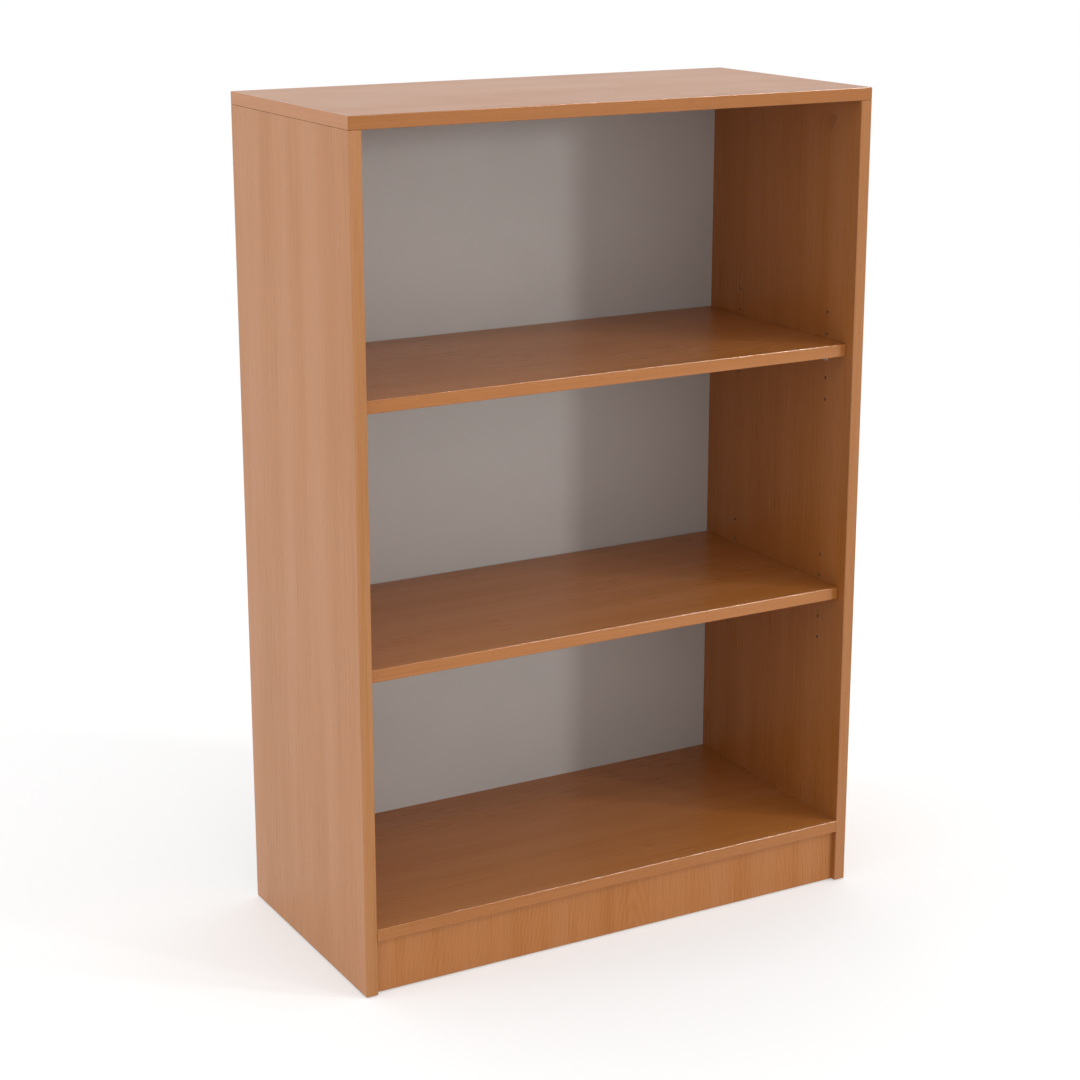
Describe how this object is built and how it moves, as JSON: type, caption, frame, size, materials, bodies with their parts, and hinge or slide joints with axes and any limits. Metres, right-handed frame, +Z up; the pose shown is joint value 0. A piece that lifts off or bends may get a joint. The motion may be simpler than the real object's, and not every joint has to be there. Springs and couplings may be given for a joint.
{
  "type": "shelving unit",
  "caption": "Low open office bookcase of coated board with three compartments, loose shelves on plug-in supports, a set-back plinth and a thin back panel.",
  "frame": {"origin": "centre of the footprint, on the floor under the glides", "axes": "+Z up, the open front faces -Y, +X to the right seen from the front"},
  "size_m": [0.8, 0.38, 1.19],
  "materials": {
    "beech_board": "satin melamine with a fine beech grain, raw chipboard on the unbanded edges",
    "beech_edging": "satin plastic band with a beech grain",
    "grey_back": "hardboard, lacquered light grey in front and raw brown behind",
    "zinc_fittings": "die-cast and zinc-plated, satin",
    "nickel_supports": "nickel-plated, satin",
    "wooden_dowels": "raw beech",
    "brown_caps": "matt moulded",
    "dark_glides": "matt moulded"
  },
  "bodies": {
    "carcass": {"left_side": "beech_board", "right_side": "beech_board", "top_panel": "beech_board", "bottom_shelf": "beech_board", "plinth": "beech_board", "back_panel": "grey_back", "left_side_edging": "beech_edging", "right_side_edging": "beech_edging", "top_front_edging": "beech_edging", "top_left_edging": "beech_edging", "top_right_edging": "beech_edging", "bottom_shelf_edging": "beech_edging", "top_cams": "zinc_fittings", "top_cam_caps": "brown_caps", "top_cam_bolts": "zinc_fittings", "top_dowels": "wooden_dowels", "bottom_cams": "zinc_fittings", "bottom_cam_bolts": "zinc_fittings", "bottom_dowels": "wooden_dowels", "plinth_cams": "zinc_fittings", "plinth_cam_bolts": "zinc_fittings", "plinth_dowels": "wooden_dowels", "upper_shelf_supports": "nickel_supports", "lower_shelf_supports": "nickel_supports", "floor_glides": "dark_glides", "back_screws": "zinc_fittings"},
    "upper_shelf": {"upper_shelf": "beech_board", "upper_shelf_edging": "beech_edging"},
    "lower_shelf": {"lower_shelf": "beech_board", "lower_shelf_edging": "beech_edging"}
  },
  "joints": [
    {"name": "upper_shelf_slide", "type": "slide", "parent": "carcass", "child": "upper_shelf", "axis": [0, -1, 0], "range_m": [0, 0.07]},
    {"name": "lower_shelf_slide", "type": "slide", "parent": "carcass", "child": "lower_shelf", "axis": [0, -1, 0], "range_m": [0, 0.07]}
  ]
}
